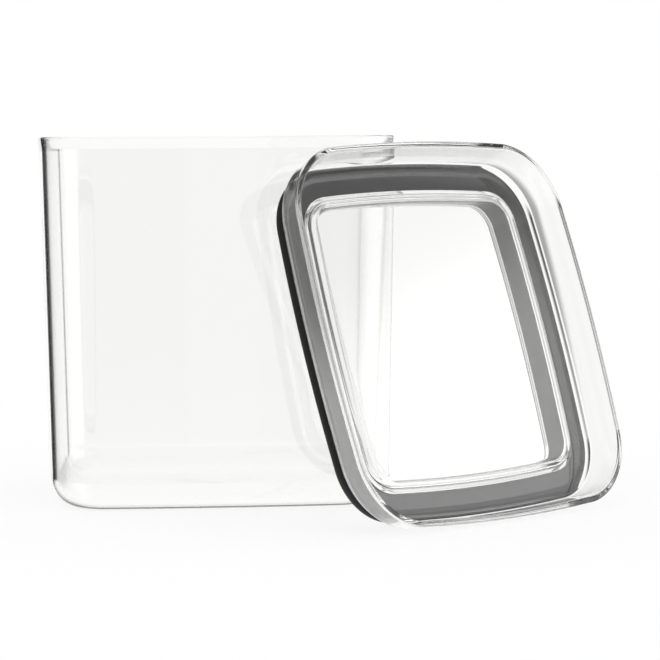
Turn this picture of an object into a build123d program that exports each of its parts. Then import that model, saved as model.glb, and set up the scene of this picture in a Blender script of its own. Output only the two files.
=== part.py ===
from build123d import *
from math import atan2, cos, hypot, radians, sin, sqrt, tan
import os

# Square clear canister with its lid taken off and leant against its front right corner.
# Millimetres, +Z up, origin at the middle of the canister's foot, -Y towards the viewer.
# Every plan outline is a square with bowed sides and round corners, and all are offsets
# of one: the canister's outside at its mouth.

# Canister
CANISTER_WIDTH = 105.4
CANISTER_HEIGHT = 108.7
SIDE_BOW_RADIUS = 525.0
CORNER_RADIUS = 18.6
CANISTER_WALL = 1.3
CANISTER_FLOOR = 1.6
MOULD_DRAFT = radians(1.2)
FOOT_RADIUS = 8.3
MOUTH_FLARE = 0.4
MOUTH_FLARE_HEIGHT = 3.5
MOUTH_EDGE_ROUND = 0.5

# Lid: a flared rim round a raised panel with a broad bevel, and a plug below for the gasket
RIM_OVERHANG = 3.3
RIM_WALL = 2.0
RIM_FLARE = radians(10.4)
RIM_EDGE_ROUND = 0.6
RIM_HEIGHT = 9.3
RIM_FOOT_ROUND = 6.5
RIM_INNER_ROUND = 0.5
FLANGE_THICKNESS = 2.0
PANEL_RISE = 1.7
PANEL_BEVEL = radians(54)
PANEL_THICKNESS = 1.8
PANEL_EDGE_ROUND = 0.6
PLUG_CLEARANCE = 7.5
PLUG_WALL = 1.9
PLUG_DEPTH = 8.5
PLUG_EDGE_ROUND = 0.6
PLUG_INNER_ROUND = 2.2
BEAD_HEIGHT = 1.0
BEAD_LENGTH = 0.8

# Gasket: a sleeve round the plug, held between the flange and the plug's bead, with a thick
# fin that seals against the canister's wall
SEAL_SQUEEZE = 0.1
SEAL_THICKNESS = 3.4
SEAL_EDGE_ROUND = 1.6
SEAL_CLEARANCE = 0.05
SLEEVE_LENGTH = 7.4
SLEEVE_WALL = 2.0
SLEEVE_ROUND = 0.6

# How the lid leans: turned about Z, tipped back, rolled in its own plane
LID_TURN = radians(39.0)
LID_LEAN = radians(18.6)
LID_ROLL = radians(0.4)
LID_PAST_CORNER = 2.9
LEAN_GAP = 1.0
LEAN_STEPS = 3

HALF_WIDTH = CANISTER_WIDTH / 2
FLAT_LAP = 1.0
TAPER = tan(MOULD_DRAFT)


# A side's arc has its centre across the axis, and a corner's arc is tangent to two sides
side_x = HALF_WIDTH - SIDE_BOW_RADIUS
corner_reach = SIDE_BOW_RADIUS - CORNER_RADIUS
corner_x = (side_x + sqrt(2 * corner_reach**2 - side_x**2)) / 2


def plan_wire(grow):
    """Closed outline of the canister's mouth, offset outwards by grow."""
    side_radius = SIDE_BOW_RADIUS + grow
    corner_radius = CORNER_RADIUS + grow
    swing = atan2(corner_x, corner_x - side_x)
    side_end = (side_x + side_radius * cos(swing), side_radius * sin(swing))
    tip = corner_x + corner_radius * cos(radians(45))
    edges = []
    for turn in range(4):
        side = ThreePointArc(
            (side_end[0], -side_end[1]), (HALF_WIDTH + grow, 0), side_end
        )
        corner = ThreePointArc(side_end, (tip, tip), (side_end[1], side_end[0]))
        edges += [Rot(0, 0, 90 * turn) * side, Rot(0, 0, 90 * turn) * corner]
    return Wire(edges)


def plate(grow, low, high):
    """Flat plate with the offset outline between two heights."""
    return extrude(Pos(0, 0, low) * make_face(plan_wire(grow)), high - low)


def ring(section):
    """Sweep a section, drawn as offset and height, once round the canister's outline."""
    placed = Plane.XZ * (Pos(HALF_WIDTH, 0) * section)
    return sweep(placed, path=plan_wire(0))


def section_face(points, rounds):
    """Closed section with the corners in rounds, as point number to radius, rounded off."""
    face = make_face(Polyline(*points, close=True))
    for number, radius in rounds.items():
        corner = Vector(*points[number])
        near = face.vertices().sort_by_distance(corner)[0]
        face = fillet(near, radius)
    return face


# Canister body: drafted wall with a flared mouth, rounded foot and flat floor
foot_out = -CANISTER_HEIGHT * TAPER
floor_edge = foot_out - FOOT_RADIUS - FLAT_LAP
flare_base = CANISTER_HEIGHT - MOUTH_FLARE_HEIGHT
floor_in = -CANISTER_WALL - (CANISTER_HEIGHT - CANISTER_FLOOR) * TAPER
canister_section = section_face(
    [
        (floor_edge, 0),
        (foot_out, 0),
        (-MOUTH_FLARE_HEIGHT * TAPER, flare_base),
        (MOUTH_FLARE, CANISTER_HEIGHT),
        (-CANISTER_WALL, CANISTER_HEIGHT),
        (floor_in, CANISTER_FLOOR),
        (floor_edge, CANISTER_FLOOR),
    ],
    {
        1: FOOT_RADIUS,
        3: MOUTH_EDGE_ROUND,
        4: MOUTH_EDGE_ROUND,
        5: FOOT_RADIUS - CANISTER_WALL,
    },
)
canister = ring(canister_section) + plate(floor_edge, 0, CANISTER_FLOOR)

# Lid in its own frame: rim edge at height 0, underside below
flange_top = -RIM_HEIGHT
flange_base = flange_top - FLANGE_THICKNESS
panel_top = flange_top + PANEL_RISE
panel_base = panel_top - PANEL_THICKNESS
plug_out = -CANISTER_WALL - PLUG_CLEARANCE
plug_in = plug_out - PLUG_WALL
plug_end = flange_base - PLUG_DEPTH
panel_out = plug_out - PANEL_RISE * tan(PANEL_BEVEL)
panel_edge = min(panel_out, plug_in) - PLUG_INNER_ROUND - FLAT_LAP
rim_slope = tan(RIM_FLARE)
rim_in = RIM_OVERHANG - RIM_WALL
seal_top = flange_base - SEAL_CLEARANCE
seal_base = seal_top - SEAL_THICKNESS
sleeve_base = seal_top - SLEEVE_LENGTH
bead_top = sleeve_base - SEAL_CLEARANCE
bead_out = plug_out + BEAD_HEIGHT
lid_section = section_face(
    [
        (RIM_OVERHANG, 0),
        (RIM_OVERHANG + flange_base * rim_slope, flange_base),
        (plug_out, flange_base),
        (plug_out, bead_top),
        (bead_out, bead_top),
        (plug_out, bead_top - BEAD_LENGTH),
        (plug_out, plug_end),
        (plug_in, plug_end),
        (plug_in, panel_base),
        (panel_edge, panel_base),
        (panel_edge, panel_top),
        (panel_out, panel_top),
        (plug_out, flange_top),
        (rim_in + flange_top * rim_slope, flange_top),
        (rim_in, 0),
    ],
    {
        0: RIM_EDGE_ROUND,
        1: RIM_FOOT_ROUND,
        7: PLUG_EDGE_ROUND,
        8: PLUG_INNER_ROUND,
        11: PANEL_EDGE_ROUND,
        13: RIM_INNER_ROUND,
        14: RIM_EDGE_ROUND,
    },
)
lid = ring(lid_section) + plate(panel_edge, panel_base, panel_top)

# Gasket in the lid's frame
seal_in = plug_out + SEAL_CLEARANCE
seal_out = SEAL_SQUEEZE - CANISTER_WALL
sleeve_out = seal_in + SLEEVE_WALL
gasket_section = section_face(
    [
        (seal_in, sleeve_base),
        (sleeve_out, sleeve_base),
        (sleeve_out, seal_base),
        (seal_out, seal_base),
        (seal_out, seal_top),
        (seal_in, seal_top),
    ],
    {
        1: SLEEVE_ROUND,
        2: SLEEVE_ROUND,
        3: SEAL_EDGE_ROUND,
        4: SEAL_EDGE_ROUND,
    },
)
gasket = ring(gasket_section)

# Leaning lid: it stands on its rim's rounded foot, so its height follows from that arc
foot_arc_z = flange_base + RIM_FOOT_ROUND
foot_arc_grow = RIM_OVERHANG + foot_arc_z * rim_slope - RIM_FOOT_ROUND / cos(RIM_FLARE)
foot_reach = SIDE_BOW_RADIUS + foot_arc_grow + side_x * cos(LID_ROLL)
lid_z = foot_reach * cos(LID_LEAN) - foot_arc_z * sin(LID_LEAN) + RIM_FOOT_ROUND
across = Vector(cos(LID_TURN), sin(LID_TURN), 0)
facing = Vector(sin(LID_TURN), -cos(LID_TURN), 0)
lid_normal = facing * cos(LID_LEAN) + Vector(0, 0, sin(LID_LEAN))
lid_up = lid_normal.cross(across)
lid_x = across * cos(LID_ROLL) + lid_up * sin(LID_ROLL)
lean_line = Vector(corner_x, -corner_x, lid_z) + across * LID_PAST_CORNER


def leant(piece, stand_off):
    """The piece in the leaning lid's place, stand_off in front of the canister's corner."""
    frame = Plane(origin=lean_line + facing * stand_off, x_dir=lid_x, z_dir=lid_normal)
    return frame.location * piece


# The lid is brought up to the corner until LEAN_GAP is left, which keeps it clear of the
# flared mouth when it is lifted
stand_off = hypot(HALF_WIDTH, HALF_WIDTH)
for step in range(LEAN_STEPS):
    gap = min(canister.distance_to(leant(piece, stand_off)) for piece in (lid, gasket))
    stand_off -= gap - LEAN_GAP

os.makedirs("parts", exist_ok=True)
export_step(canister, "parts/canister_body.step")
export_step(leant(lid, stand_off), "parts/lid_shell.step")
export_step(leant(gasket, stand_off), "parts/lid_gasket.step")
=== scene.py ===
"""Looks of a square clear canister whose lid is off and leans against its front right corner."""

from math import cos, radians, sin, sqrt, tan

import bmesh
import bpy
from bpy.props import FloatProperty, FloatVectorProperty, IntProperty, PointerProperty
from mathutils import Matrix, Vector


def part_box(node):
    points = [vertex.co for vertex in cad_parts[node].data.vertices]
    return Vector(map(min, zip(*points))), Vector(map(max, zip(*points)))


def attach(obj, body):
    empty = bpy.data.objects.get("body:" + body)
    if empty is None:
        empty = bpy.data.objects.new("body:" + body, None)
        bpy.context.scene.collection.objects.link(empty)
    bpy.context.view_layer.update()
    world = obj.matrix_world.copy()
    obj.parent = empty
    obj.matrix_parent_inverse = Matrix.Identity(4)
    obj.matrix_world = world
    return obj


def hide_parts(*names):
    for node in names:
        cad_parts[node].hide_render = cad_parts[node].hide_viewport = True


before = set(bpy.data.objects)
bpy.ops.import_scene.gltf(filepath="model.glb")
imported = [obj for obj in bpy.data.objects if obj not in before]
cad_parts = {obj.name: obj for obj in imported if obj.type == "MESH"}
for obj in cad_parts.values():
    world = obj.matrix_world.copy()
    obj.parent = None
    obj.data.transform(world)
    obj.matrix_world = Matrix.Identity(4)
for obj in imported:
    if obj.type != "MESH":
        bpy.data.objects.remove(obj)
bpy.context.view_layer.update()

bl_info = {
    "name": "Clear canister with a leaning lid",
    "version": (1, 0, 0),
    "blender": (4, 5, 0),
    "location": "3D View > Sidebar > Canister",
    "description": "Builds the clear canister, its lid and gasket, and the studio round them",
    "category": "Object",
}

MM = 0.001
BODY_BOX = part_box("canister_body")
LID_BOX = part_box("lid_shell")
GASKET_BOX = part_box("lid_gasket")
MERGE_DISTANCE = 0.001 * MM


def length(name, description, default):
    """A size in metres that is written in millimetres."""
    return FloatProperty(name=name, description=description, default=default * MM, unit="LENGTH")


def angle(name, description, default):
    """An angle that is written in degrees."""
    return FloatProperty(name=name, description=description, default=radians(default), unit="ROTATION")


def colour(name, description, default):
    """A colour that is written as an sRGB hex value."""
    return FloatVectorProperty(
        name=name, description=description, default=linear(default), subtype="COLOR", min=0, max=1
    )


def linear(code):
    """Linear red, green and blue of an sRGB hex value."""
    parts = [int(code[i : i + 2], 16) / 255 for i in (1, 3, 5)]
    return tuple(c / 12.92 if c <= 0.04045 else ((c + 0.055) / 1.055) ** 2.4 for c in parts)


class CanisterSizes(bpy.types.PropertyGroup):
    """Sizes of the canister, whose mouth's outline all the other outlines are offsets of."""

    width: length("Width", "Width across the mouth, without its flare", 105.4)
    bow_radius: length("Side bow radius", "Radius of the slightly bowed sides", 525)
    corner_radius: length("Corner radius", "Radius of the upright corners at the mouth", 18.6)
    wall: length("Wall", "Thickness of the side walls", 1.3)
    floor: length("Floor", "Thickness of the floor", 1.6)
    draft: angle("Draft", "Lean of the walls that lets the moulding leave its mould", 1.2)
    foot_radius: length("Foot radius", "Round between the walls and the floor, outside", 8.3)
    flare: length("Mouth flare", "How far the lip stands out at the mouth", 0.4)
    flare_height: length("Mouth flare height", "Height of the lip that flares", 3.5)
    flare_round: length("Mouth flare round", "Round where the lip leaves the wall", 12)
    edge_round: length("Edge round", "Round along both edges of the mouth", 0.5)
    gate_radius: length("Gate mark radius", "Radius of the moulding mark under the floor", 2.4)
    gate_depth: length("Gate mark depth", "Depth of the moulding mark under the floor", 0.4)
    points_round: IntProperty(name="Points round", description="Points along each outline", default=480)
    round_steps: IntProperty(name="Round steps", description="Steps along each round of a section", default=10)


class LidSizes(bpy.types.PropertyGroup):
    """Sizes of the lid and its gasket, and how the lid leans."""

    rim_overhang: length("Rim overhang", "How far the rim's edge stands out past the canister", 3.29)
    rim_wall: length("Rim wall", "Thickness of the rim", 2.0)
    rim_flare: angle("Rim flare", "Slope of the rim away from upright", 10.4)
    rim_height: length("Rim height", "Height of the rim above the flange", 9.3)
    edge_round: length("Rim edge round", "Round along both edges of the rim", 0.6)
    foot_round: length("Rim foot round", "Round outside where the rim meets the flange", 6.5)
    inner_round: length("Rim inner round", "Round inside where the rim meets the flange", 0.5)
    flange: length("Flange thickness", "Thickness of the flange", 2.0)
    panel_rise: length("Panel rise", "How far the middle panel stands above the flange", 1.7)
    panel_bevel: angle("Panel bevel", "Slope of the panel's bevelled edge away from upright", 54)
    panel: length("Panel thickness", "Thickness of the middle panel", 1.8)
    corner_round: length("Corner round", "Round along the edges of the panel and the plug", 0.6)
    plug_inner_round: length("Plug inner round", "Round inside where the plug meets the panel", 2.2)
    crease_round: length("Crease round", "Round in the creases of the moulding", 0.25)
    plug_clearance: length("Plug clearance", "Gap from the plug to the canister's wall", 7.5)
    plug_wall: length("Plug wall", "Thickness of the plug's wall", 1.9)
    plug_depth: length("Plug depth", "How far the plug reaches below the flange", 8.5)
    bead_height: length("Bead height", "How far the bead stands out from the plug", 1.0)
    bead_length: length("Bead length", "Length of the bead's ramp", 0.8)
    seal_squeeze: length("Seal squeeze", "How far the gasket reaches past the canister's wall", 0.1)
    seal_thickness: length("Seal thickness", "Thickness of the gasket", 3.4)
    seal_round: length("Seal round", "Round along the gasket's outer edges", 1.6)
    sleeve_length: length("Sleeve length", "Length of the gasket's sleeve along the plug", 7.4)
    sleeve_wall: length("Sleeve wall", "Thickness of the gasket's sleeve", 2.0)
    sleeve_round: length("Sleeve round", "Round along the sleeve's outer edge and in its crease", 0.6)
    seal_clearance: length("Seal clearance", "Gap between the gasket and the lid", 0.05)
    flat_lap: length("Flat lap", "Width of the flat that joins a floor to the swept wall", 1.0)
    turn: angle("Turn", "Turn of the leaning lid about the upright", 39.0)
    lean: angle("Lean", "How far the lid leans back from upright", 18.6)
    roll: angle("Roll", "Turn of the lid in its own plane", 0.4)


class Finishes(bpy.types.PropertyGroup):
    """Colours of the materials."""

    clear: colour("Clear plastic", "Tint of the clear moulded plastic", "#FFFFFE")
    depth: colour("Depth tint", "Colour that long ways through the plastic take on", "#BEBDBB")
    silicone: colour("Silicone", "Colour of the soft gasket", "#141414")


class Studio(bpy.types.PropertyGroup):
    """Place of the camera and the plain studio round the object."""

    camera_place: FloatVectorProperty(
        name="Camera", description="Where the camera stands", subtype="XYZ", default=(-0.0441, -0.8757, 0.1073)
    )
    camera_aim: FloatVectorProperty(
        name="Aim", description="Point in the middle of the picture", subtype="XYZ",
        default=(0.0354, -0.0043, 0.0493)
    )
    camera_roll: angle("Camera roll", "Turn of the camera about its line of sight", -0.335)
    lens: FloatProperty(name="Lens", description="Focal length on a 36 mm sensor, in millimetres", default=156.1)
    paper: colour("Paper", "Colour of the floor", "#FFFFFF")
    fill: FloatProperty(name="Fill", description="Brightness of the studio for dull surfaces", default=0.8, min=0)
    floor_radius: length("Floor radius", "Radius of the round floor", 300)
    floor_drop: length("Floor drop", "How far the floor lies below the object's foot", 0.05)
    shadow_share: FloatProperty(
        name="Shadow share", description="Share of the floor's brightness that shadows take away",
        default=0.16, min=0, max=1
    )


def settings():
    """The sizes, finishes and studio values that the panel shows."""
    scene = bpy.context.scene
    return scene.canister_sizes, scene.lid_sizes, scene.canister_finishes, scene.canister_studio


def node(tree, kind, values=None, **attributes):
    """Adds a node, sets its attributes, and sets or links the inputs named or numbered in values."""
    made = tree.nodes.new(kind)
    for name, value in attributes.items():
        setattr(made, name, value)
    for key, value in (values or {}).items():
        if isinstance(value, bpy.types.NodeSocket):
            tree.links.new(value, made.inputs[key])
        else:
            made.inputs[key].default_value = value
    return made


def sweep_tree():
    """Node tree that sweeps a section, drawn as offset and height, round a bowed square outline.

    A unit circle's points are the outline's normals: each is moved onto the side's or the corner's arc
    that has this normal. The section's rounds are the radii of its points. A floor closes the middle.
    """
    tree = bpy.data.node_groups.new("Section swept round the outline", "GeometryNodeTree")
    face = tree.interface
    face.new_socket("Section", in_out="INPUT", socket_type="NodeSocketGeometry")
    for name in ("Half width", "Bow radius", "Corner radius", "Corner centre"):
        face.new_socket(name, in_out="INPUT", socket_type="NodeSocketFloat")
    for name in ("Gate radius", "Gate depth", "Gate level"):
        face.new_socket(name, in_out="INPUT", socket_type="NodeSocketFloat")
    for name in ("Points round", "Round steps"):
        face.new_socket(name, in_out="INPUT", socket_type="NodeSocketInt")
    face.new_socket("Material", in_out="INPUT", socket_type="NodeSocketMaterial")
    face.new_socket("Mesh", in_out="OUTPUT", socket_type="NodeSocketGeometry")
    given = node(tree, "NodeGroupInput").outputs

    # The outline's arcs, found from the normals
    circle = node(
        tree, "GeometryNodeCurvePrimitiveCircle", {"Resolution": given["Points round"], "Radius": 1.0}
    ).outputs[0]
    normal = node(tree, "GeometryNodeInputPosition").outputs[0]
    size = node(tree, "ShaderNodeVectorMath", {0: normal}, operation="ABSOLUTE").outputs[0]
    share = node(tree, "ShaderNodeSeparateXYZ", {0: size}).outputs
    smaller = node(tree, "ShaderNodeMath", {0: share[0], 1: share[1]}, operation="MINIMUM").outputs[0]
    reach = node(
        tree, "ShaderNodeMath", {0: given["Bow radius"], 1: given["Corner radius"]}, operation="SUBTRACT"
    ).outputs[0]
    swing = node(
        tree, "ShaderNodeMath", {0: given["Corner centre"], 1: reach}, operation="DIVIDE"
    ).outputs[0]
    at_corner = node(tree, "ShaderNodeMath", {0: smaller, 1: swing}, operation="GREATER_THAN").outputs[0]
    radius = node(
        tree, "GeometryNodeSwitch",
        {"Switch": at_corner, "False": given["Bow radius"], "True": given["Corner radius"]},
        input_type="FLOAT",
    ).outputs[0]
    side_centre = node(
        tree, "ShaderNodeMath", {0: given["Half width"], 1: given["Bow radius"]}, operation="SUBTRACT"
    ).outputs[0]
    half = node(tree, "ShaderNodeVectorMath", {0: normal, 1: (0.5, 0.5, 0.5)}, operation="ADD").outputs[0]
    axis = node(tree, "ShaderNodeVectorMath", {0: half}, operation="FLOOR").outputs[0]
    quarter = node(tree, "ShaderNodeVectorMath", {0: normal}, operation="SIGN").outputs[0]
    to_side = node(
        tree, "ShaderNodeVectorMath", {0: axis, "Scale": side_centre}, operation="SCALE"
    ).outputs[0]
    to_corner = node(
        tree, "ShaderNodeVectorMath", {0: quarter, "Scale": given["Corner centre"]}, operation="SCALE"
    ).outputs[0]
    centre = node(
        tree, "GeometryNodeSwitch", {"Switch": at_corner, "False": to_side, "True": to_corner},
        input_type="VECTOR",
    ).outputs[0]
    outward = node(tree, "ShaderNodeVectorMath", {0: normal, "Scale": radius}, operation="SCALE").outputs[0]
    on_arc = node(tree, "ShaderNodeVectorMath", {0: outward, 1: centre}, operation="ADD").outputs[0]
    outline = node(tree, "GeometryNodeSetPosition", {"Geometry": circle, "Position": on_arc}).outputs[0]

    # The section with its rounds, swept round the outline
    rounds = node(tree, "GeometryNodeInputRadius").outputs[0]
    section = node(
        tree, "GeometryNodeFilletCurve",
        {"Curve": given["Section"], "Count": given["Round steps"], "Radius": rounds, "Limit Radius": True},
        mode="POLY",
    ).outputs[0]
    upright = node(tree, "GeometryNodeSetCurveNormal", {"Curve": outline}, mode="Z_UP").outputs[0]
    wall = node(tree, "GeometryNodeCurveToMesh", {"Curve": upright, "Profile Curve": section}).outputs[0]

    # Each open end of the wall is drawn in to a ring, a sunk ring and a point, which closes the floor
    neighbours = node(tree, "GeometryNodeInputMeshEdgeNeighbors").outputs[0]
    is_end = node(
        tree, "FunctionNodeCompare", {2: neighbours, 3: 1}, data_type="INT", operation="EQUAL"
    ).outputs[0]
    here = node(tree, "GeometryNodeInputPosition").outputs[0]
    flat = node(tree, "ShaderNodeVectorMath", {0: here, 1: (1, 1, 0)}, operation="MULTIPLY").outputs[0]
    away = node(tree, "ShaderNodeVectorMath", {0: flat}, operation="NORMALIZE").outputs[0]
    height = node(tree, "ShaderNodeSeparateXYZ", {0: here}).outputs["Z"]
    is_low = node(
        tree, "ShaderNodeMath", {0: height, 1: given["Gate level"]}, operation="LESS_THAN"
    ).outputs[0]
    rise = node(tree, "ShaderNodeMath", {0: is_low, 1: given["Gate depth"]}, operation="MULTIPLY").outputs[0]
    inner_ring = node(
        tree, "ShaderNodeMath", {0: given["Gate radius"], 1: given["Gate depth"]}, operation="SUBTRACT"
    ).outputs[0]
    mesh = wall
    for ring, lift in ((given["Gate radius"], 0.0), (inner_ring, rise), (0.0, 0.0)):
        drawn = node(
            tree, "GeometryNodeExtrudeMesh",
            {"Mesh": mesh, "Selection": is_end, "Offset Scale": 0.0}, mode="EDGES",
        ).outputs
        level = node(tree, "ShaderNodeMath", {0: height, 1: lift}, operation="ADD").outputs[0]
        up = node(tree, "ShaderNodeCombineXYZ", {"Z": level}).outputs[0]
        out = node(tree, "ShaderNodeVectorMath", {0: away, "Scale": ring}, operation="SCALE").outputs[0]
        to = node(tree, "ShaderNodeVectorMath", {0: out, 1: up}, operation="ADD").outputs[0]
        mesh = node(
            tree, "GeometryNodeSetPosition",
            {"Geometry": drawn["Mesh"], "Selection": drawn["Top"], "Position": to},
        ).outputs[0]
    merged = node(
        tree, "GeometryNodeMergeByDistance", {"Geometry": mesh, "Distance": MERGE_DISTANCE}
    ).outputs[0]
    outside = node(tree, "GeometryNodeFlipFaces", {"Mesh": merged}).outputs[0]
    smooth = node(tree, "GeometryNodeSetShadeSmooth", {"Geometry": outside}).outputs[0]
    real = node(tree, "GeometryNodeRealizeInstances", {"Geometry": smooth}).outputs[0]
    finished = node(
        tree, "GeometryNodeSetMaterial", {"Geometry": real, "Material": given["Material"]}
    ).outputs[0]
    node(tree, "NodeGroupOutput", {"Mesh": finished})
    return tree


def outline_values(sizes):
    """The tree's inputs that set the outline, which every piece shares."""
    half_width = sizes.width / 2
    side_centre = half_width - sizes.bow_radius
    reach = sizes.bow_radius - sizes.corner_radius
    corner_centre = (side_centre + sqrt(2 * reach**2 - side_centre**2)) / 2
    return {
        "Half width": half_width,
        "Bow radius": sizes.bow_radius,
        "Corner radius": sizes.corner_radius,
        "Corner centre": corner_centre,
        "Points round": sizes.points_round,
        "Round steps": sizes.round_steps,
    }


def swept_piece(name, section, closed, values, material, place=Matrix.Identity(4)):
    """A plain mesh piece from the swept section, whose points are offset, height and round."""
    drawn = bpy.data.curves.new(name + "_section", "CURVE")
    drawn.dimensions = "2D"
    spline = drawn.splines.new("POLY")
    spline.points.add(len(section) - 1)
    spline.use_cyclic_u = closed
    for point, (offset, height, rounding) in zip(spline.points, section):
        point.co = (offset, -height, 0, 1)
        point.radius = rounding
    maker = bpy.data.objects.new(name + "_section", drawn)
    bpy.context.scene.collection.objects.link(maker)
    tree = bpy.data.node_groups.get("Section swept round the outline") or sweep_tree()
    modifier = maker.modifiers.new("Sweep", "NODES")
    modifier.node_group = tree
    sockets = {item.name: item.identifier for item in tree.interface.items_tree if item.in_out == "INPUT"}
    for key, value in {**values, "Material": material}.items():
        modifier[sockets[key]] = value
    ready = maker.evaluated_get(bpy.context.evaluated_depsgraph_get())
    mesh = bpy.data.meshes.new_from_object(ready)
    bpy.data.objects.remove(maker)
    if not mesh.polygons:
        raise RuntimeError(f"the sweep made no faces for {name}")
    mesh.name = name
    mesh.transform(place)
    piece = bpy.data.objects.new(name, mesh)
    bpy.context.scene.collection.objects.link(piece)
    weighted = piece.modifiers.new("Flats stay flat", "WEIGHTED_NORMAL")
    weighted.mode = "FACE_AREA"
    return piece


def clear_plastic(name, finishes):
    """Clear SAN, injection moulded in a polished mould: bright, colourless, faintly grey at its edges."""
    material = bpy.data.materials.new(name)
    material.use_nodes = True
    tree = material.node_tree
    tree.nodes.clear()
    place = node(tree, "ShaderNodeTexCoord").outputs["Object"]
    # Flow waves left by the mould, about 30 mm across
    waves = node(tree, "ShaderNodeTexNoise", {"Vector": place, "Scale": 1 / (30 * MM), "Detail": 1.0})
    bump = node(
        tree, "ShaderNodeBump", {"Height": waves.outputs[0], "Strength": 0.02, "Distance": 0.5 * MM}
    )
    shader = node(
        tree, "ShaderNodeBsdfPrincipled",
        {
            "Base Color": (*finishes.clear, 1),
            "Roughness": 0.0,
            "IOR": 1.57,
            "Transmission Weight": 1.0,
            "Normal": bump.outputs[0],
        },
    )
    depth = node(tree, "ShaderNodeVolumeAbsorption", {"Color": (*finishes.depth, 1), "Density": 12.0})
    node(tree, "ShaderNodeOutputMaterial", {"Surface": shader.outputs[0], "Volume": depth.outputs[0]})
    return material


def silicone(finishes):
    """Black silicone, moulded: nearly black, with a soft broad sheen."""
    material = bpy.data.materials.new("Black moulded silicone")
    material.use_nodes = True
    tree = material.node_tree
    tree.nodes.clear()
    place = node(tree, "ShaderNodeTexCoord").outputs["Object"]
    grain = node(tree, "ShaderNodeTexNoise", {"Vector": place, "Scale": 1 / (0.4 * MM), "Detail": 3.0})
    bump = node(
        tree, "ShaderNodeBump", {"Height": grain.outputs[0], "Strength": 0.1, "Distance": 0.05 * MM}
    )
    rough = node(
        tree, "ShaderNodeMapRange", {"Value": grain.outputs[0], "To Min": 0.42, "To Max": 0.55}
    )
    shader = node(
        tree, "ShaderNodeBsdfPrincipled",
        {
            "Base Color": (*finishes.silicone, 1),
            "Roughness": rough.outputs[0],
            "IOR": 1.42,
            "Normal": bump.outputs[0],
        },
    )
    node(tree, "ShaderNodeOutputMaterial", {"Surface": shader.outputs[0]})
    return material


def lid_levels(lid):
    """Heights and offsets of the lid's section in its own frame, where the rim's edge is at height 0."""
    canister = bpy.context.scene.canister_sizes
    flange_top = -lid.rim_height
    flange_base = flange_top - lid.flange
    plug_out = -canister.wall - lid.plug_clearance
    plug_in = plug_out - lid.plug_wall
    panel_out = plug_out - lid.panel_rise * tan(lid.panel_bevel)
    seal_top = flange_base - lid.seal_clearance
    sleeve_base = seal_top - lid.sleeve_length
    seal_in = plug_out + lid.seal_clearance
    return {
        "flange_top": flange_top,
        "flange_base": flange_base,
        "panel_top": flange_top + lid.panel_rise,
        "panel_base": flange_top + lid.panel_rise - lid.panel,
        "plug_out": plug_out,
        "plug_in": plug_in,
        "plug_end": flange_base - lid.plug_depth,
        "panel_out": panel_out,
        "panel_edge": min(panel_out, plug_in) - lid.plug_inner_round - lid.flat_lap,
        "seal_top": seal_top,
        "seal_base": seal_top - lid.seal_thickness,
        "seal_in": seal_in,
        "seal_out": lid.seal_squeeze - canister.wall,
        "sleeve_base": sleeve_base,
        "sleeve_out": seal_in + lid.sleeve_wall,
        "bead_top": sleeve_base - lid.seal_clearance,
    }


def lid_turn(lid):
    """How the lid stands: turned about the upright, leant back, rolled in its own plane."""
    across = Vector((cos(lid.turn), sin(lid.turn), 0))
    facing = Vector((sin(lid.turn), -cos(lid.turn), 0))
    out = facing * cos(lid.lean) + Vector((0, 0, sin(lid.lean)))
    up = out.cross(across)
    along = across * cos(lid.roll) + up * sin(lid.roll)
    return Matrix((along, out.cross(along), out)).transposed().to_4x4()


def set_down(piece, box):
    """Moves a turned piece until the middle of its box is that of its CAD node's box."""
    corners = [vertex.co for vertex in piece.data.vertices]
    spans = [[corner[axis] for corner in corners] for axis in range(3)]
    middle = Vector((min(span) + max(span)) / 2 for span in spans)
    piece.data.transform(Matrix.Translation((box[0] + box[1]) / 2 - middle))


class CANISTER_OT_body(bpy.types.Operator):
    """Build the clear canister body"""

    bl_idname = "canister.body"
    bl_label = "Canister body"

    def execute(self, context):
        sizes, lid, finishes, _ = settings()
        height = BODY_BOX[1].z
        taper = tan(sizes.draft)
        foot_out = -height * taper
        floor_edge = foot_out - sizes.foot_radius - lid.flat_lap
        floor_in = -sizes.wall - (height - sizes.floor) * taper
        section = [
            (floor_edge, 0, 0),
            (foot_out, 0, sizes.foot_radius),
            (-sizes.flare_height * taper, height - sizes.flare_height, sizes.flare_round),
            (sizes.flare, height, sizes.edge_round),
            (-sizes.wall, height, sizes.edge_round),
            (floor_in, sizes.floor, sizes.foot_radius - sizes.wall),
            (floor_edge, sizes.floor, 0),
        ]
        values = {
            **outline_values(sizes),
            "Gate radius": sizes.gate_radius,
            "Gate depth": sizes.gate_depth,
            "Gate level": sizes.floor / 2,
        }
        body = swept_piece(
            "canister_body_clear", section, False, values, clear_plastic("Clear moulded SAN, canister", finishes)
        )
        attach(body, "canister")
        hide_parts("canister_body")
        return {"FINISHED"}


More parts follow.
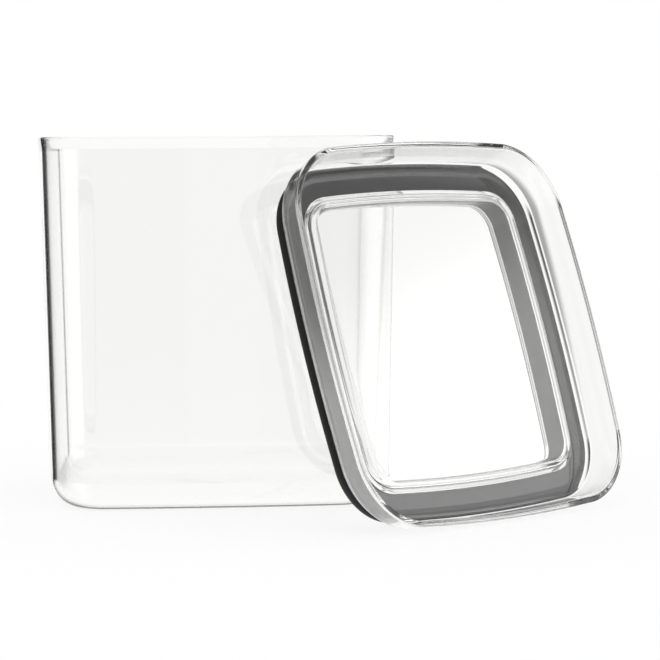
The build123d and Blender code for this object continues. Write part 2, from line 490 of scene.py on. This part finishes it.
class CANISTER_OT_lid(bpy.types.Operator):
    """Build the clear lid where it leans"""

    bl_idname = "canister.lid"
    bl_label = "Lid"

    def execute(self, context):
        sizes, lid, finishes, _ = settings()
        at = lid_levels(lid)
        slope = tan(lid.rim_flare)
        rim_in = lid.rim_overhang - lid.rim_wall
        crease = lid.crease_round
        section = [
            (at["panel_edge"], at["panel_base"], 0),
            (at["plug_in"], at["panel_base"], lid.plug_inner_round),
            (at["plug_in"], at["plug_end"], lid.corner_round),
            (at["plug_out"], at["plug_end"], lid.corner_round),
            (at["plug_out"], at["bead_top"] - lid.bead_length, crease),
            (at["plug_out"] + lid.bead_height, at["bead_top"], crease),
            (at["plug_out"], at["bead_top"], crease),
            (at["plug_out"], at["flange_base"], crease),
            (lid.rim_overhang + at["flange_base"] * slope, at["flange_base"], lid.foot_round),
            (lid.rim_overhang, 0, lid.edge_round),
            (rim_in, 0, lid.edge_round),
            (rim_in + at["flange_top"] * slope, at["flange_top"], lid.inner_round),
            (at["plug_out"], at["flange_top"], crease),
            (at["panel_out"], at["panel_top"], lid.corner_round),
            (at["panel_edge"], at["panel_top"], 0),
        ]
        values = {**outline_values(sizes), "Gate radius": sizes.gate_radius, "Gate depth": 0.0}
        shell = swept_piece(
            "lid_shell_clear", section, False, values, clear_plastic("Clear moulded SAN, lid", finishes),
            lid_turn(lid),
        )
        set_down(shell, LID_BOX)
        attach(shell, "lid")
        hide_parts("lid_shell")
        return {"FINISHED"}


class CANISTER_OT_gasket(bpy.types.Operator):
    """Build the soft gasket round the lid's plug"""

    bl_idname = "canister.gasket"
    bl_label = "Gasket"

    def execute(self, context):
        sizes, lid, finishes, _ = settings()
        at = lid_levels(lid)
        section = [
            (at["seal_in"], at["sleeve_base"], lid.crease_round),
            (at["sleeve_out"], at["sleeve_base"], lid.sleeve_round),
            (at["sleeve_out"], at["seal_base"], lid.sleeve_round),
            (at["seal_out"], at["seal_base"], lid.seal_round),
            (at["seal_out"], at["seal_top"], lid.seal_round),
            (at["seal_in"], at["seal_top"], lid.crease_round),
        ]
        gasket = swept_piece(
            "lid_gasket_silicone", section, True, outline_values(sizes), silicone(finishes), lid_turn(lid)
        )
        set_down(gasket, GASKET_BOX)
        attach(gasket, "lid")
        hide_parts("lid_gasket")
        return {"FINISHED"}


# The studio as clear plastic mirrors and bends it, white but for these soft-edged zones. Sides are
# compass angles from straight behind the object, positive to the right, and heights are angles above
# the floor, both in degrees as (start, full, full, end). The last number is how bright a zone is.
ZONES = {
    "Dim front, left": ((-190, -185, -44, -33), (-12, -6, 90, 95), 0.5),
    "Dim front, right": ((115, 140, 185, 190), (-12, -6, 90, 95), 0.6),
    "Black flag, left": ((-44, -33, -12, -7.5), (-12, -7, 60, 75), 0.03),
    "Grey flag, right": ((14, 24, 50, 65), (-1, 3, 40, 55), 0.4),
    "Dim wall, right": ((55, 65, 115, 130), (20, 23.5, 60, 80), 0.6),
    "Softbox, right": ((65, 75, 110, 125), (-12, -6, 20, 23.5), 2.0),
}


def math_node(tree, operation, first, second=0.0):
    """Output of a math node."""
    return node(tree, "ShaderNodeMath", {0: first, 1: second}, operation=operation).outputs[0]


def mixed_value(tree, share, first, second):
    """A value that goes from the first to the second as the share goes from 0 to 1."""
    return node(tree, "ShaderNodeMix", {0: share, 2: first, 3: second}, data_type="FLOAT").outputs[0]


def soft_step(tree, value, start, end):
    """Goes softly from 0 to 1 as the value goes from start to end, all in degrees."""
    values = {0: value, 1: radians(start), 2: radians(end), 3: 0.0, 4: 1.0}
    return node(tree, "ShaderNodeMapRange", values, interpolation_type="SMOOTHSTEP").outputs[0]


def zone(tree, azimuth, elevation, sides, heights):
    """1 inside a soft-edged zone of directions, 0 outside: sides and heights as (start, full, full, end)."""
    share = None
    for value, (start, rise, fall, end) in ((azimuth, sides), (elevation, heights)):
        into = soft_step(tree, value, start, rise)
        out = math_node(tree, "SUBTRACT", 1.0, soft_step(tree, value, fall, end))
        both = math_node(tree, "MULTIPLY", into, out)
        share = both if share is None else math_node(tree, "MULTIPLY", share, both)
    return share


def studio_level(tree):
    """How bright the studio is in each direction, as clear plastic mirrors and bends it."""
    way = node(tree, "ShaderNodeTexCoord").outputs["Generated"]
    part = node(tree, "ShaderNodeSeparateXYZ", {0: way}).outputs
    azimuth = node(tree, "ShaderNodeMath", {0: part[0], 1: part[1]}, operation="ARCTAN2").outputs[0]
    elevation = node(tree, "ShaderNodeMath", {0: part[2]}, operation="ARCSINE").outputs[0]
    level = 1.0
    for sides, heights, value in ZONES.values():
        share = zone(tree, azimuth, elevation, sides, heights)
        level = mixed_value(tree, share, level, value)
    return level


def white_paper(studio):
    """Matt white paper: plain white where it is lit, with the object's faint shadow on it."""
    material = bpy.data.materials.new("White matt paper")
    material.use_nodes = True
    tree = material.node_tree
    tree.nodes.clear()
    shaded = [part * studio.shadow_share for part in studio.paper]
    ray = node(tree, "ShaderNodeLightPath").outputs
    matt = node(tree, "ShaderNodeBsdfDiffuse", {"Color": (*shaded, 1)}).outputs[0]
    lift = math_node(tree, "MULTIPLY", ray["Is Camera Ray"], 1 - studio.shadow_share * studio.fill)
    raised = node(tree, "ShaderNodeEmission", {"Color": (*studio.paper, 1), "Strength": lift}).outputs[0]
    lit = node(tree, "ShaderNodeAddShader", {0: matt, 1: raised}).outputs[0]
    node(tree, "ShaderNodeOutputMaterial", {"Surface": lit})
    return material


def floor_disc(studio):
    """Round floor just below the object's foot, past which clear plastic sees the white studio."""
    mesh = bpy.data.meshes.new("studio_floor")
    outline = bmesh.new()
    bmesh.ops.create_circle(outline, cap_ends=True, segments=96, radius=studio.floor_radius)
    bmesh.ops.translate(outline, verts=outline.verts, vec=(0, 0, -studio.floor_drop))
    outline.to_mesh(mesh)
    outline.free()
    mesh.materials.append(white_paper(studio))
    floor = bpy.data.objects.new("studio_floor", mesh)
    floor.visible_glossy = False
    floor.visible_transmission = False
    bpy.context.scene.collection.objects.link(floor)


def studio_camera(studio):
    """Camera on its place, turned to its aim, with its lens on a 36 mm sensor."""
    seen = bpy.data.cameras.new("Camera")
    seen.sensor_width = 36.0
    seen.lens = studio.lens
    seen.clip_start = 0.01
    seen.clip_end = 50.0
    camera = bpy.data.objects.new("Camera", seen)
    place = Vector(studio.camera_place)
    ahead = Vector(studio.camera_aim) - place
    turned = ahead.to_track_quat("-Z", "Y").to_matrix().to_4x4()
    camera.matrix_world = Matrix.Translation(place) @ turned @ Matrix.Rotation(studio.camera_roll, 4, "Z")
    bpy.context.scene.collection.objects.link(camera)
    return camera


def white_studio(studio):
    """World that is plain white to the camera, shows its zones to clear plastic and lights dull surfaces."""
    world = bpy.data.worlds.new("White studio")
    world.use_nodes = True
    tree = world.node_tree
    tree.nodes.clear()
    ray = node(tree, "ShaderNodeLightPath").outputs
    bent = math_node(tree, "MAXIMUM", ray["Is Glossy Ray"], ray["Is Transmission Ray"])
    level = mixed_value(tree, bent, studio.fill, studio_level(tree))
    level = mixed_value(tree, ray["Is Camera Ray"], level, 1.0)
    light = node(tree, "ShaderNodeBackground", {"Color": (1, 1, 1, 1), "Strength": level}).outputs[0]
    node(tree, "ShaderNodeOutputWorld", {"Surface": light})
    return world


class CANISTER_OT_stage(bpy.types.Operator):
    """Set up the floor, the light and the camera"""

    bl_idname = "canister.stage"
    bl_label = "Studio"

    def execute(self, context):
        studio = settings()[3]
        scene = context.scene
        scene.view_settings.view_transform = "Standard"
        # Light goes back and forth in the thin clear walls many times
        scene.cycles.max_bounces = 64
        scene.cycles.transmission_bounces = 64
        scene.cycles.glossy_bounces = 16

        floor_disc(studio)
        scene.camera = studio_camera(studio)
        scene.world = white_studio(studio)
        return {"FINISHED"}


class CANISTER_PT_panel(bpy.types.Panel):
    """Lists the pieces and the studio"""

    bl_label = "Clear canister"
    bl_space_type = "VIEW_3D"
    bl_region_type = "UI"
    bl_category = "Canister"

    def draw(self, context):
        for group in settings():
            box = self.layout.box()
            for name in group.__annotations__:
                box.prop(group, name)
        for operator in OPERATORS:
            self.layout.operator(operator.bl_idname)


GROUPS = {
    "canister_sizes": CanisterSizes,
    "lid_sizes": LidSizes,
    "canister_finishes": Finishes,
    "canister_studio": Studio,
}
OPERATORS = (CANISTER_OT_body, CANISTER_OT_lid, CANISTER_OT_gasket, CANISTER_OT_stage)


def register():
    for name, group in GROUPS.items():
        bpy.utils.register_class(group)
        setattr(bpy.types.Scene, name, PointerProperty(type=group))
    for shown in (*OPERATORS, CANISTER_PT_panel):
        bpy.utils.register_class(shown)


def unregister():
    for shown in (CANISTER_PT_panel, *reversed(OPERATORS)):
        bpy.utils.unregister_class(shown)
    for name, group in GROUPS.items():
        delattr(bpy.types.Scene, name)
        bpy.utils.unregister_class(group)


def main():
    register()
    bpy.ops.canister.body()
    bpy.ops.canister.lid()
    bpy.ops.canister.gasket()
    bpy.ops.canister.stage()


if __name__ == "__main__":
    main()
